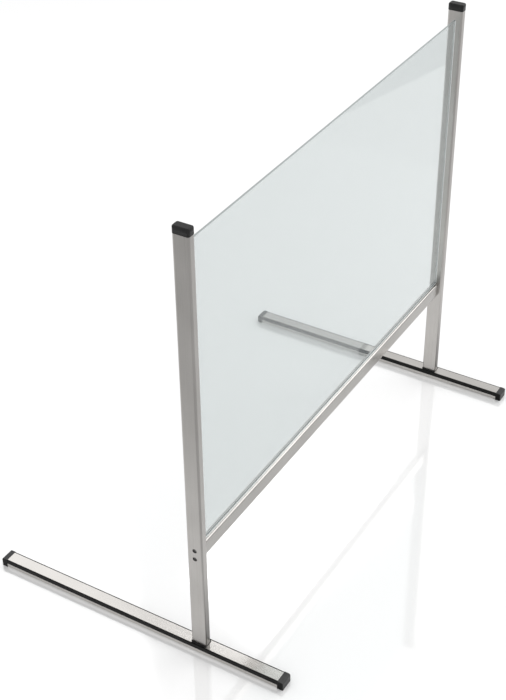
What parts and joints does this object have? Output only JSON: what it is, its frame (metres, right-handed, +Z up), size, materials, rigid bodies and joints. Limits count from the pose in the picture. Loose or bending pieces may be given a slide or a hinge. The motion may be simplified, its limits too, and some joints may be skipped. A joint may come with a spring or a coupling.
{
  "type": "countertop sneeze guard",
  "caption": "Free-standing countertop sneeze guard: a clear pane held between aluminium posts over a crossbar with a pass-through gap below, on long low feet.",
  "frame": {"origin": "centre of the footprint, on the counter surface", "axes": "+X along the pane, +Y along the feet towards their long rear ends, +Z up"},
  "size_m": [1.029, 0.6496, 0.92],
  "materials": {
    "anodised_aluminium": "satin, fine lengthwise grain",
    "black_plastic": "moulded, fine grain",
    "seal_rubber": "matt",
    "grip_rubber": "matt",
    "clear_glass": "polished",
    "screw_steel": "dark plated"
  },
  "bodies": {
    "root": {"base_pad_left": "black_plastic", "base_pad_right": "black_plastic", "base_screws": "screw_steel", "crossbar": "anodised_aluminium", "crossbar_screws": "screw_steel", "foot_cap_left_front": "black_plastic", "foot_cap_left_rear": "black_plastic", "foot_cap_right_front": "black_plastic", "foot_cap_right_rear": "black_plastic", "foot_left": "anodised_aluminium", "foot_right": "anodised_aluminium", "foot_trim_left_inner": "black_plastic", "foot_trim_left_outer": "black_plastic", "foot_trim_right_inner": "black_plastic", "foot_trim_right_outer": "black_plastic", "glass_pane": "clear_glass", "grip_left": "grip_rubber", "grip_right": "grip_rubber", "post_cap_left": "black_plastic", "post_cap_right": "black_plastic", "post_left": "anodised_aluminium", "post_right": "anodised_aluminium", "seal_bottom": "seal_rubber", "seal_left": "seal_rubber", "seal_right": "seal_rubber"}
  },
  "joints": []
}
